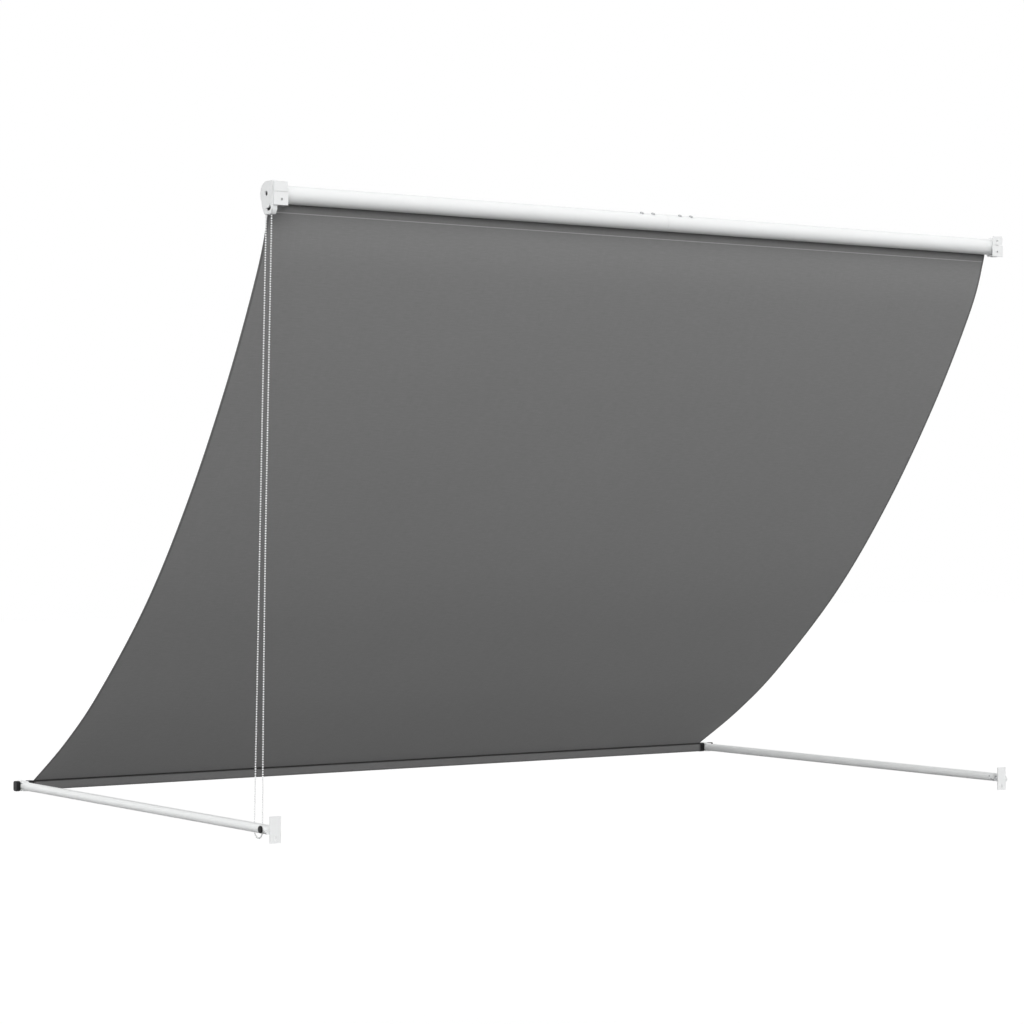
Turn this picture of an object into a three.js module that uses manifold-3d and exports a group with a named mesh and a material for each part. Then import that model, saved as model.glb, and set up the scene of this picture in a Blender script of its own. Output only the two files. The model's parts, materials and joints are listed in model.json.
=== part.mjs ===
// Wall-mounted drop-arm awning: cloth on a chain-driven roller, carried at its front edge by a
// bar between two swinging arms. Millimetres, +X along the roller, +Y away from the wall, +Z up.
// The origin is on the wall plane, at the height of the roller's axis, in the middle of the span.
import * as THREE from 'three';
import { mergeVertices } from 'three/addons/utils/BufferGeometryUtils.js';
import manifoldModule from 'manifold-3d';

const wasm = await manifoldModule();
wasm.setup();
const { Manifold, Mesh: SolidMesh } = wasm;

// Fits
const GAP = 0.3; // between pieces that touch
const RUN = 0.6; // around pieces that turn
const OVER = 2; // how far a cutting tool reaches past what it cuts
const SINK = 1; // how far joined forms reach into each other

// Roller
const ROLLER_R = 19;
const ROLLER_WALL = 1.5;
const ROLLER_Y = 28;
const CLOTH_HALF = 1008;
const TUBE_BEYOND_CLOTH = 1;
const TUBE_HALF = CLOTH_HALF + TUBE_BEYOND_CLOTH;
const PLUG_LENGTH = 46;
const COUPLER_HALF = 90;
const COUPLER_WALL = 2;
const SCREW_FROM_JOINT = 38;
const SCREW_FROM_END = 20.5; // from the coupler's end
const COUPLER_SCREWS = [
  SCREW_FROM_END - COUPLER_HALF,
  -SCREW_FROM_JOINT,
  SCREW_FROM_JOINT,
  COUPLER_HALF - SCREW_FROM_END,
];
const COUPLER_SCREW_ANGLE = 120; // degrees from the outward direction, over the top
const SCREW_HEAD_R = 4.6;
const SCREW_HEAD_HEIGHT = 2.8;
const SCREW_SHANK_R = 1.8;

// Upper brackets
const CHEEK_CLEAR = 2;
const CHEEK_INNER = TUBE_HALF + CHEEK_CLEAR;
const CHEEK_THICK = 2.5;
const CHEEK_OUTER = CHEEK_INNER + CHEEK_THICK;
const CHEEK_R = 24;
const CHEEK_ARC = [-85, 90];
const PLATE_REACH_IN = 23.5; // from the cheek's outer face toward the middle of the span
const PLATE_REACH_OUT = 10;
const PLATE_INNER = CHEEK_OUTER - PLATE_REACH_IN;
const PLATE_OUTER = CHEEK_OUTER + PLATE_REACH_OUT;
const PLATE_THICK = 2.5;
const PLATE_BOTTOM = -25;
const PLATE_TOP = 24;
const PLATE_STEP_Z = 2; // above this line the plate stands back from the wall
const PLATE_STEP = 0.8;
const FOOT_SHORT = 7; // how far the foot stops short of the roller's axis
const FOOT_DEPTH = ROLLER_Y - FOOT_SHORT;
const WALL_HOLE_R = 2.5;
const WALL_HOLE_IN = 15; // from the plate's inner edge
const WALL_HOLE_X = PLATE_INNER + WALL_HOLE_IN;
const WALL_HOLE_Z = 13.5;

// Chain drive, on the side of negative X
const CHAIN_R = 2;
const CHAIN_PITCH_R = 11.4;
const CHAIN_LOOP_R = 17;
const CHAIN_BELOW_ARM = 24;
const CHAIN_LEAN = 43.5; // how far outward the loop hangs
const CHAIN_SPREAD_FROM = 0.4; // share of the way down where the strands begin to part
const CHAIN_ENDS_APART = 0.6;
const CASE_R = 25;
const CASE_WALL = 2.6;
const CASE_LIP = [-18, 8, -43]; // wall side, outer side and height, from the roller's axis
const CASE_OUTER_CORNER = [16.5, -29];
const CASE_WALL_CORNER = -34; // height of the lower corner on the wall's side
const CASE_ARC = [-35, 90];
const COVER_WINDOW = [
  [0, -30.5],
  [-0.5, -34.5],
  [-3, -35.8],
  [-13, -35.8],
  [-16.5, -34],
  [-18, -30],
  [-17.5, -26],
  [-15.5, -25],
  [-12.5, -25.6],
  [-10.5, -28.6],
  [-7, -29.8],
  [-2, -29.6],
];
const COVER_THICK = 2.7;
const WHEEL_FLANGE = 0.6;
const WHEEL_HALF = CHAIN_R + GAP + WHEEL_FLANGE;
const WHEEL_RIM = 1.6; // how far the flanges stand above the chain's middle
const WHEEL_R = CHAIN_PITCH_R + WHEEL_RIM;
const HUB_R = 9.5;
const SPINDLE_R = 6.4;
const SPINDLE_BORE_R = 5.2;
const SPRING_WALL = 1.4;
const SPRING_LENGTH = 25;
const SPRING_START = 10; // from the end of the roller
const CASE_SCREW_R = 19.5;
const CASE_SCREW_HEAD_R = 2.8;
const CASE_SCREW_ANGLES = [40, 155];
const IDLE_PIN_R = 4;
const IDLE_PIN_HEAD_R = 7;
const IDLE_PIN_HEAD = 3;

// Cloth: its line from the roller's front to the hem, as shares of the way out and of the way down
const CLOTH_THICK = 1;
const CLOTH_WRAP = 30; // degrees of the roller that the cloth's upper end covers
const CLOTH_LINE = [
  [0.0042, 0.0264],
  [0.0427, 0.1164],
  [0.1562, 0.2894],
  [0.3122, 0.4841],
  [0.4877, 0.6633],
  [0.696, 0.827],
  [0.8466, 0.9216],
];
const CLOTH_STEPS = 44;
const STRIP_THICK = 1.6;
const STRIP_SHORT = 8; // how far the strip stops short of the cloth's side
const STRIP_HALF = CLOTH_HALF - STRIP_SHORT;
const STRIP_ANGLES = [12, 28];

// Arms and their brackets
const ARM_Z = -1300;
const PIVOT_Y = 19;
const ARM_R = 10;
const ARM_WALL = 1.5;
const ARM_CLEAR = 1.5; // between the chain and the arm that swings past it
const CHAIN_X = -(CHEEK_OUTER + CASE_WALL + 2 * GAP + WHEEL_HALF);
const ARM_X = -CHAIN_X + CHAIN_R + ARM_CLEAR + ARM_R;
const FITTING_REACH = 17; // from the pivot to the arm's tube
const ARM_START = PIVOT_Y + FITTING_REACH;
const ARM_BEYOND_BAR = 12;
const FOOT_PLATE_WIDTH = 26;
const FOOT_PLATE_OUTER = ARM_X;
const FOOT_PLATE_INNER = FOOT_PLATE_OUTER - FOOT_PLATE_WIDTH;
const FOOT_PLATE_THICK = 3;
const FOOT_PLATE_HALF = 27.5;
const FOOT_PLATE_DROP = 0.5; // below the arm's axis
const FOOT_PLATE_Z = ARM_Z - FOOT_PLATE_DROP;
const FOOT_SLOT = [3, 10];
const FOOT_SLOT_DROP = 18;
const LUG_THICK = 3.2;
const LUG_R = 9;
const LUG_ARC = 60; // degrees each side of straight out
const LUG_ROOT_HALF = 12;
const PIVOT_R = 3;
const PIVOT_HEAD_R = 5.5;
const PIVOT_HEAD = 3;
const BOSS_R = 8;
const HEEL_DROP = 2;
const KNOB_R = 7.8;
const KNOB_DEPTH = 4;
const KNOB_DOME = 1.4;
const FITTING_DEPTH = 40;
const RIVETS = [
  [46, 3],
  [40, -4],
];
const RIVET_R = 1.6;
const RIVET_HEAD_R = 2.4;
const RIVET_HEAD = 1;
const RIVET_LENGTH = 4.5;

// Front bar
const BAR_Y = 1180;
const HEM_DEPTH = 20;
const HEM_HEIGHT = 23;
const HEM_ROUND = 6;
const BAR_WALL = 1.5;
const COLLAR_HEIGHT = 24;
const STUD_R = 5;
const STUD_BEYOND = 5.5;
const CAP_LENGTH = 10;
const CAP_ROUND = 5;
const SPIGOT_LENGTH = 28;
const TIP_THICK = 2;
const TIP_SPIGOT = 5;
const TIP_WALL = 1.75; // above and below the arm
const TIP_ROUND = 5;
const TIP_REACH = 27; // how far the tip's jaws reach back over the arm
const JAW_DEPTH = 2; // how far the jaws reach round from the arm's top and bottom

const ROUND = 32; // sides of the larger cylinders
const SMALL_ROUND = 16;
const ARM_SIDES = 24;
const CHAIN_SIDES = 8;
const STRAND_STEPS = 15;
const RAD = Math.PI / 180;

const finish = (color, roughness, metalness) => ({ color, roughness, metalness });
const WHITE_PAINT = finish(0xf3f4f4, 0.4, 0.0);
const WHITE_PLASTIC = finish(0xedeeee, 0.5, 0.0);
const CLOTH = finish(0x848484, 0.9, 0.0);
const BLACK_PLASTIC = finish(0x1e1e1f, 0.5, 0.0);
const STEEL = finish(0xbcbdbf, 0.35, 1.0);
const ALUMINIUM = finish(0xcecfd1, 0.4, 1.0);

const group = new THREE.Group();

function solidOf(geometry) {
  geometry.deleteAttribute('normal');
  geometry.deleteAttribute('uv');
  const welded = mergeVertices(geometry, 1e-4);
  return new Manifold(new SolidMesh({
    numProp: 3,
    vertProperties: new Float32Array(welded.attributes.position.array),
    triVerts: new Uint32Array(welded.index.array),
  }));
}

// A named piece, made where it belongs or put there by its position and its turns about the axes
function add(name, solid, { color, roughness, metalness }, position = [0, 0, 0], turns = [0, 0, 0]) {
  const mesh = solid.getMesh();
  const geometry = new THREE.BufferGeometry();
  geometry.setAttribute('position', new THREE.BufferAttribute(new Float32Array(mesh.vertProperties), 3));
  geometry.setIndex(new THREE.BufferAttribute(new Uint32Array(mesh.triVerts), 1));
  geometry.computeVertexNormals();
  const node = new THREE.Mesh(geometry, new THREE.MeshStandardMaterial({ color, roughness, metalness }));
  node.name = name;
  node.position.set(...position);
  node.rotation.set(...turns.map((degrees) => degrees * RAD));
  group.add(node);
}

const FACING_X = new THREE.Matrix4().set(0, 0, 1, 0, 1, 0, 0, 0, 0, 1, 0, 0, 0, 0, 0, 1);
const FACING_Y = new THREE.Matrix4().set(0, 1, 0, 0, 0, 0, 1, 0, 1, 0, 0, 0, 0, 0, 0, 1);

// An outline in (y, z), carried along X from one place to another, in either order
function alongX(outline, from, to) {
  const shape = new THREE.Shape(outline.map(([y, z]) => new THREE.Vector2(y, z)));
  const depth = Math.abs(to - from);
  const geometry = new THREE.ExtrudeGeometry(shape, { depth, bevelEnabled: false });
  geometry.applyMatrix4(FACING_X);
  geometry.translate(Math.min(from, to), 0, 0);
  return solidOf(geometry);
}

// An outline in (z, x), carried along Y
function alongY(outline, from, to) {
  const shape = new THREE.Shape(outline.map(([z, x]) => new THREE.Vector2(z, x)));
  const geometry = new THREE.ExtrudeGeometry(shape, { depth: to - from, bevelEnabled: false });
  geometry.applyMatrix4(FACING_Y);
  geometry.translate(0, from, 0);
  return solidOf(geometry);
}

function arc(u, v, r, from, to, sides) {
  const steps = Math.max(2, Math.round((sides * Math.abs(to - from)) / 360));
  return Array.from({ length: steps + 1 }, (_, i) => {
    const a = (from + ((to - from) * i) / steps) * RAD;
    return [u + r * Math.cos(a), v + r * Math.sin(a)];
  });
}

function circle(u, v, r, sides) {
  return arc(u, v, r, 0, 360, sides).slice(0, -1);
}

function roundedBox(u, v, width, height, r) {
  const du = width / 2 - r;
  const dv = height / 2 - r;
  return [
    ...arc(u + du, v + dv, r, 0, 90, SMALL_ROUND),
    ...arc(u - du, v + dv, r, 90, 180, SMALL_ROUND),
    ...arc(u - du, v - dv, r, 180, 270, SMALL_ROUND),
    ...arc(u + du, v - dv, r, 270, 360, SMALL_ROUND),
  ];
}

function box(x0, x1, y0, y1, z0, z1) {
  return alongX([[y0, z0], [y1, z0], [y1, z1], [y0, z1]], x0, x1);
}

const rodX = (y, z, r, from, to, sides = SMALL_ROUND) => alongX(circle(y, z, r, sides), from, to);
const rodY = (x, z, r, from, to, sides = SMALL_ROUND) => alongY(circle(z, x, r, sides), from, to);

const onRoller = (r, from, to, sides = SMALL_ROUND) => rodX(ROLLER_Y, 0, r, from, to, sides);

function latheOf(profile, sides) {
  return new THREE.LatheGeometry(profile.map(([r, h]) => new THREE.Vector2(r, h)), sides);
}

// A pan-headed fastener along Y, its head on the positive side of the origin
function fastener(shankR, length, headR, headHeight) {
  const crown = headHeight * 0.45;
  const profile = [
    [0, -length],
    [shankR, -length],
    [shankR, 0],
    [headR, 0],
    [headR, headHeight - crown],
    [headR - crown, headHeight],
    [0, headHeight],
  ];
  return solidOf(latheOf(profile, SMALL_ROUND));
}

// Upper brackets. side is -1 at the drive end and +1 at the other end.
function upperBracket(side, axleR, holeHeights) {
  const x = (value) => side * value;
  const cheek = [
    [SINK, PLATE_BOTTOM],
    [FOOT_DEPTH, PLATE_BOTTOM],
    ...arc(ROLLER_Y, 0, CHEEK_R, ...CHEEK_ARC, ROUND),
    [SINK, PLATE_TOP],
  ];
  let body = box(x(PLATE_INNER), x(PLATE_OUTER), 0, PLATE_THICK, PLATE_BOTTOM, PLATE_STEP_Z)
    .add(box(x(PLATE_INNER + PLATE_STEP), x(PLATE_OUTER - PLATE_STEP), PLATE_STEP, PLATE_THICK,
      PLATE_STEP_Z - SINK, PLATE_TOP))
    .add(alongX(cheek, x(CHEEK_INNER), x(CHEEK_OUTER)))
    .add(box(x(PLATE_INNER), x(CHEEK_OUTER), SINK, FOOT_DEPTH, PLATE_BOTTOM, PLATE_BOTTOM + CHEEK_THICK))
    .subtract(onRoller(axleR, x(CHEEK_INNER - OVER), x(CHEEK_OUTER + OVER)));
  for (const z of holeHeights) {
    body = body.subtract(rodY(x(WALL_HOLE_X), z, WALL_HOLE_R, -OVER, PLATE_THICK + OVER));
  }
  return body;
}

const caseScrewAt = (angle) => [
  ROLLER_Y + CASE_SCREW_R * Math.cos(angle * RAD),
  CASE_SCREW_R * Math.sin(angle * RAD),
];
let driveBracket = upperBracket(-1, HUB_R + RUN, [-WALL_HOLE_Z]);
for (const angle of CASE_SCREW_ANGLES) {
  const hole = rodX(...caseScrewAt(angle), SCREW_SHANK_R + GAP, -CHEEK_INNER + OVER, -CHEEK_OUTER - OVER);
  driveBracket = driveBracket.subtract(hole);
}
add('bracket_drive', driveBracket, WHITE_PAINT);
add('bracket_idle', upperBracket(1, IDLE_PIN_R + GAP, [-WALL_HOLE_Z, WALL_HOLE_Z]), WHITE_PAINT);

// Chain drive: a flat case on the cheek, its cover carrying the fixed spindle
const CASE_INNER = -(CHEEK_OUTER + GAP);
const CASE_FLOOR = CHAIN_X + WHEEL_HALF + GAP;
const CASE_RIM = CHAIN_X - WHEEL_HALF - GAP;
const COVER_INNER = CASE_RIM - GAP;
const COVER_OUTER = COVER_INNER - COVER_THICK;
const [lipIn, lipOut, lipZ] = CASE_LIP;
const [cornerOut, cornerZ] = CASE_OUTER_CORNER;
const caseOutline = [
  [ROLLER_Y + lipIn, lipZ],
  [ROLLER_Y + lipOut, lipZ],
  [ROLLER_Y + cornerOut, cornerZ],
  ...arc(ROLLER_Y, 0, CASE_R, ...CASE_ARC, 2 * ROUND),
  [PLATE_THICK + GAP, CASE_R],
  [PLATE_THICK + GAP + SINK, CASE_WALL_CORNER],
];
const coverWindow = COVER_WINDOW.map(([y, z]) => [ROLLER_Y + y, z]);
const channelHalf = CHAIN_PITCH_R + CHAIN_R + RUN;
let housing = alongX(caseOutline, CASE_INNER, CASE_RIM)
  .subtract(onRoller(channelHalf, CASE_FLOOR, CASE_RIM - OVER, ROUND))
  .subtract(box(CASE_FLOOR, CASE_RIM - OVER, ROLLER_Y - channelHalf, ROLLER_Y + channelHalf,
    lipZ - OVER, 0))
  .subtract(onRoller(HUB_R + RUN, CASE_INNER + OVER, CASE_FLOOR - OVER));
for (const angle of CASE_SCREW_ANGLES) {
  const pilot = rodX(...caseScrewAt(angle), SCREW_SHANK_R + GAP, CASE_INNER + OVER, CASE_RIM + CASE_WALL);
  housing = housing.subtract(pilot);
}
add('drive_housing', housing, WHITE_PLASTIC);

const plugEnd = TUBE_HALF - PLUG_LENGTH;
const cover = alongX(caseOutline, COVER_INNER, COVER_OUTER)
  .add(onRoller(SPINDLE_R, COVER_INNER - SINK, -plugEnd))
  .subtract(onRoller(SPINDLE_BORE_R, COVER_OUTER - OVER, -plugEnd + OVER))
  .subtract(alongX(coverWindow, COVER_INNER + SINK, COVER_OUTER - OVER));
add('drive_cover', cover, WHITE_PLASTIC);

const wheelProfile = [
  [SPINDLE_R + GAP, -WHEEL_HALF],
  [WHEEL_R, -WHEEL_HALF],
  [WHEEL_R, -WHEEL_HALF + WHEEL_FLANGE],
  [CHAIN_PITCH_R - CHAIN_R - GAP, -WHEEL_HALF + WHEEL_FLANGE],
  [CHAIN_PITCH_R - CHAIN_R - GAP, WHEEL_HALF - WHEEL_FLANGE],
  [WHEEL_R, WHEEL_HALF - WHEEL_FLANGE],
  [WHEEL_R, WHEEL_HALF],
  [SPINDLE_R + GAP, WHEEL_HALF],
  [SPINDLE_R + GAP, -WHEEL_HALF],
];
const wheelGeometry = latheOf(wheelProfile, ROUND);
wheelGeometry.rotateZ(-Math.PI / 2);
wheelGeometry.translate(CHAIN_X, ROLLER_Y, 0);
const plugR = ROLLER_R - ROLLER_WALL - GAP;
const springR = SPINDLE_R + GAP + SPRING_WALL;
const driveWheel = solidOf(wheelGeometry)
  .add(onRoller(HUB_R, CHAIN_X + WHEEL_HALF - SINK, -TUBE_HALF + SINK))
  .add(onRoller(plugR, -TUBE_HALF, -plugEnd, ROUND))
  .subtract(onRoller(SPINDLE_R + GAP, CHAIN_X - WHEEL_HALF - OVER, -plugEnd + OVER))
  .subtract(onRoller(springR + GAP, -TUBE_HALF + SPRING_START - GAP, -plugEnd + OVER));
add('drive_wheel', driveWheel, WHITE_PLASTIC);

const springFrom = -TUBE_HALF + SPRING_START;
const spring = onRoller(springR, springFrom, springFrom + SPRING_LENGTH)
  .subtract(onRoller(SPINDLE_R + GAP, springFrom - OVER, springFrom + SPRING_LENGTH + OVER));
add('clutch_spring', spring, STEEL);

CASE_SCREW_ANGLES.forEach((angle, i) => {
  const [y, z] = caseScrewAt(angle);
  const length = CHEEK_THICK + CASE_WALL + SINK;
  const screw = fastener(SCREW_SHANK_R, length, CASE_SCREW_HEAD_R, SINK);
  add(`case_screw_${i + 1}`, screw, STEEL, [-CHEEK_INNER + GAP, y, z], [0, 0, -90]);
});

// Idle end
const idlePlug = onRoller(plugR, plugEnd, TUBE_HALF, ROUND)
  .subtract(onRoller(IDLE_PIN_R + GAP, plugEnd - OVER, TUBE_HALF + OVER));
add('idle_plug', idlePlug, WHITE_PLASTIC);
const idlePin = fastener(IDLE_PIN_R, CHEEK_OUTER + GAP - plugEnd, IDLE_PIN_HEAD_R, IDLE_PIN_HEAD);
add('idle_pin', idlePin, STEEL, [CHEEK_OUTER + GAP, ROLLER_Y, 0], [0, 0, -90]);

// Roller tube in two halves, with a coupler inside and a screw each side of every half's end
const couplerR = ROLLER_R - ROLLER_WALL - GAP;
function tubeHalf(side) {
  const from = (side * GAP) / 2;
  const to = side * TUBE_HALF;
  const inside = onRoller(ROLLER_R - ROLLER_WALL, from - side * OVER, to + side * OVER, ROUND);
  let tube = onRoller(ROLLER_R, from, to, ROUND).subtract(inside);
  for (const x of COUPLER_SCREWS.filter((value) => value * side > 0)) {
    tube = tube.subtract(screwPath(x));
  }
  return tube;
}
function screwPath(x) {
  const r = SCREW_SHANK_R + GAP;
  const length = ROLLER_R + OVER;
  const path = new THREE.CylinderGeometry(r, r, length, SMALL_ROUND);
  path.translate(0, length / 2, 0);
  path.rotateX(COUPLER_SCREW_ANGLE * RAD);
  path.translate(x, ROLLER_Y, 0);
  return solidOf(path);
}
let coupler = onRoller(couplerR, -COUPLER_HALF, COUPLER_HALF, ROUND)
  .subtract(onRoller(couplerR - COUPLER_WALL, -COUPLER_HALF - OVER, COUPLER_HALF + OVER));
for (const x of COUPLER_SCREWS) {
  coupler = coupler.subtract(screwPath(x));
}
add('roller_tube_left', tubeHalf(-1), WHITE_PAINT);
add('roller_tube_right', tubeHalf(1), WHITE_PAINT);
add('tube_coupler', coupler, ALUMINIUM);
const lean = COUPLER_SCREW_ANGLE * RAD;
COUPLER_SCREWS.forEach((x, i) => {
  const reach = ROLLER_WALL + COUPLER_WALL + OVER;
  const screw = fastener(SCREW_SHANK_R, reach, SCREW_HEAD_R, SCREW_HEAD_HEIGHT);
  const seat = ROLLER_R + GAP;
  const [y, z] = [ROLLER_Y + seat * Math.cos(lean), seat * Math.sin(lean)];
  add(`coupler_screw_${i + 1}`, screw, STEEL, [x, y, z], [COUPLER_SCREW_ANGLE, 0, 0]);
});

// Cloth with its hem pocket, and the strip that holds its upper end on the roller
const clothR = ROLLER_R + GAP + CLOTH_THICK / 2;
const hemTop = ARM_Z + HEM_HEIGHT / 2;
const clothEnd = [BAR_Y - HEM_DEPTH / 2 + HEM_ROUND, hemTop - CLOTH_THICK / 2];
const clothTop = ROLLER_Y + clothR;
const [clothOut, clothDown] = clothEnd;
const between = CLOTH_LINE.map(([out, down]) => [clothTop + (clothOut - clothTop) * out, clothDown * down]);
const hanging = new THREE.SplineCurve(
  [[clothTop, 0], ...between, clothEnd].map(([y, z]) => new THREE.Vector2(y, z)),
);
const wrap = arc(ROLLER_Y, 0, clothR, CLOTH_WRAP, 0, ROUND).slice(0, -1);
const clothLine = [
  ...wrap.map(([y, z]) => new THREE.Vector2(y, z)),
  ...hanging.getSpacedPoints(CLOTH_STEPS),
];
function clothFace(offset) {
  return clothLine.map((point, i) => {
    const before = clothLine[Math.max(i - 1, 0)];
    const after = clothLine[Math.min(i + 1, clothLine.length - 1)];
    const along = after.clone().sub(before).normalize();
    return [point.x - along.y * offset, point.y + along.x * offset];
  });
}
const clothOutline = [...clothFace(CLOTH_THICK / 2), ...clothFace(-CLOTH_THICK / 2).reverse()].reverse();
const hemPocket = [HEM_DEPTH - 2 * CLOTH_THICK, HEM_HEIGHT - 2 * CLOTH_THICK, HEM_ROUND - CLOTH_THICK];
const canopy = alongX(clothOutline, -CLOTH_HALF, CLOTH_HALF)
  .add(alongX(roundedBox(BAR_Y, ARM_Z, HEM_DEPTH, HEM_HEIGHT, HEM_ROUND), -CLOTH_HALF, CLOTH_HALF))
  .subtract(alongX(roundedBox(BAR_Y, ARM_Z, ...hemPocket), -CLOTH_HALF - OVER, CLOTH_HALF + OVER));
add('canopy', canopy, CLOTH);

const stripR = ROLLER_R + CLOTH_THICK + 2 * GAP;
const stripOutline = [
  ...arc(ROLLER_Y, 0, stripR, ...STRIP_ANGLES, 4 * ROUND).reverse(),
  ...arc(ROLLER_Y, 0, stripR + STRIP_THICK, ...STRIP_ANGLES, 4 * ROUND),
];
add('cloth_strip', alongX(stripOutline, -STRIP_HALF, STRIP_HALF), ALUMINIUM);

// Pull chain: one loop over the wheel, its two ends meeting in the inner strand
class Route extends THREE.Curve {
  constructor(stations) {
    super();
    this.stations = stations;
  }
  getPointAt(t) {
    const last = this.stations.length - 1;
    return this.stations[Math.round(t * last)].clone();
  }
  getTangentAt(t) {
    const last = this.stations.length - 1;
    const i = Math.round(t * last);
    const before = this.stations[Math.max(i - 1, 0)];
    return this.stations[Math.min(i + 1, last)].clone().sub(before).normalize();
  }
}
const loopY = ROLLER_Y + CHAIN_LEAN;
const loopZ = ARM_Z - CHAIN_BELOW_ARM + CHAIN_LOOP_R;
const innerTop = [ROLLER_Y - CHAIN_PITCH_R, lipZ];
const outerTop = [ROLLER_Y + CHAIN_PITCH_R, lipZ];
const innerEnd = [loopY - CHAIN_LOOP_R, loopZ];
const outerEnd = [loopY + CHAIN_LOOP_R, loopZ];
const descent = Array.from({ length: STRAND_STEPS }, (_, i) => (i + 1) / (STRAND_STEPS + 1));
const heightAt = (t) => lipZ + (loopZ - lipZ) * t;
const outerAt = (t) => outerTop[0] + (outerEnd[0] - outerTop[0]) * t;
const partedAt = (t) => (Math.max(t - CHAIN_SPREAD_FROM, 0) / (1 - CHAIN_SPREAD_FROM)) ** 2;
const innerAt = (t) => outerAt(t) - 2 * (CHAIN_PITCH_R + (CHAIN_LOOP_R - CHAIN_PITCH_R) * partedAt(t));
const chainRoute = [
  ...descent.map((t) => [innerAt(t), heightAt(t)]).reverse(),
  innerTop,
  ...arc(ROLLER_Y, 0, CHAIN_PITCH_R, 180, 0, ROUND),
  outerTop,
  ...descent.map((t) => [outerAt(t), heightAt(t)]),
  ...arc(loopY, loopZ, CHAIN_LOOP_R, 0, -180, ROUND),
];
const [[joinY, joinZ]] = chainRoute;
const [lastY, lastZ] = innerEnd;
const shortfall = CHAIN_ENDS_APART / Math.hypot(joinY - lastY, joinZ - lastZ);
chainRoute.push([joinY + (lastY - joinY) * shortfall, joinZ + (lastZ - joinZ) * shortfall]);
const chain = new THREE.ExtrudeGeometry(
  new THREE.Shape(circle(0, 0, CHAIN_R, CHAIN_SIDES).map(([u, v]) => new THREE.Vector2(u, v))),
  {
    steps: chainRoute.length - 1,
    bevelEnabled: false,
    extrudePath: new Route(chainRoute.map(([y, z]) => new THREE.Vector3(CHAIN_X, y, z))),
  },
);
add('pull_chain', solidOf(chain), WHITE_PLASTIC);

// Arms with their wall brackets, and the front bar's end pieces. side is -1 or +1.
const LUG_OUTER = ARM_X - ARM_R - GAP;
const LUG_INNER = LUG_OUTER - LUG_THICK;
function armBracket(side) {
  const x = (value) => side * value;
  const lug = [
    [SINK, ARM_Z - LUG_ROOT_HALF],
    ...arc(PIVOT_Y, ARM_Z, LUG_R, -LUG_ARC, LUG_ARC, ROUND),
    [SINK, ARM_Z + LUG_ROOT_HALF],
  ];
  const slotX = (FOOT_PLATE_INNER + FOOT_PLATE_OUTER) / 2;
  const [slotWide, slotTall] = FOOT_SLOT;
  const slot = roundedBox(FOOT_PLATE_Z - FOOT_SLOT_DROP, x(slotX), slotTall, slotWide, slotWide / 2 - GAP);
  return box(x(FOOT_PLATE_INNER), x(FOOT_PLATE_OUTER), 0, FOOT_PLATE_THICK,
    FOOT_PLATE_Z - FOOT_PLATE_HALF, FOOT_PLATE_Z + FOOT_PLATE_HALF)
    .add(alongX(lug, x(LUG_INNER), x(LUG_OUTER)))
    .subtract(alongY(slot, -OVER, FOOT_PLATE_THICK + OVER))
    .subtract(rodX(PIVOT_Y, ARM_Z, PIVOT_R + GAP, x(LUG_INNER - OVER), x(LUG_OUTER + OVER)));
}

const spigotR = ARM_R - ARM_WALL - GAP;
const rivetAt = ([y, rise]) => [y, ARM_Z + rise];
function rivetHole(side, rivet) {
  return rodX(...rivetAt(rivet), RIVET_R + GAP, side * (ARM_X - ARM_R - OVER), side * ARM_X);
}

// The fitting continues the arm's round form to the pivot; its squared heel meets the wall plate
function armFitting(side) {
  const x = (value) => side * value;
  const outline = [
    [ARM_START, ARM_Z + ARM_R],
    ...arc(PIVOT_Y, ARM_Z, ARM_R, 90, 180, ROUND),
    [FOOT_PLATE_THICK + GAP, ARM_Z - HEEL_DROP],
    [FOOT_PLATE_THICK + GAP, ARM_Z - ARM_R],
    [ARM_START, ARM_Z - ARM_R],
  ];
  const inner = ARM_X - ARM_R;
  const outer = ARM_X + ARM_R;
  let body = alongX(outline, x(inner), x(outer))
    .intersect(rodY(x(ARM_X), ARM_Z, ARM_R, 0, ARM_START + OVER, ARM_SIDES))
    .add(rodX(PIVOT_Y, ARM_Z, BOSS_R, x(inner), x(outer)))
    .add(rodY(x(ARM_X), ARM_Z, spigotR, ARM_START - SINK, ARM_START + FITTING_DEPTH, ARM_SIDES))
    .subtract(rodX(PIVOT_Y, ARM_Z, PIVOT_R + GAP, x(inner - OVER), x(outer + OVER)));
  for (const rivet of RIVETS) {
    body = body.subtract(rivetHole(side, rivet));
  }
  return body;
}

function arm(side) {
  const x = side * ARM_X;
  const from = ARM_START + GAP;
  const to = BAR_Y + ARM_BEYOND_BAR;
  let tube = rodY(x, ARM_Z, ARM_R, from, to, ARM_SIDES)
    .subtract(rodY(x, ARM_Z, ARM_R - ARM_WALL, from - OVER, to + OVER, ARM_SIDES))
    .subtract(rodX(BAR_Y, ARM_Z, STUD_R + GAP, x - ARM_R - OVER, x + ARM_R + OVER));
  for (const rivet of RIVETS) {
    tube = tube.subtract(rivetHole(side, rivet));
  }
  return tube;
}

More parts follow.
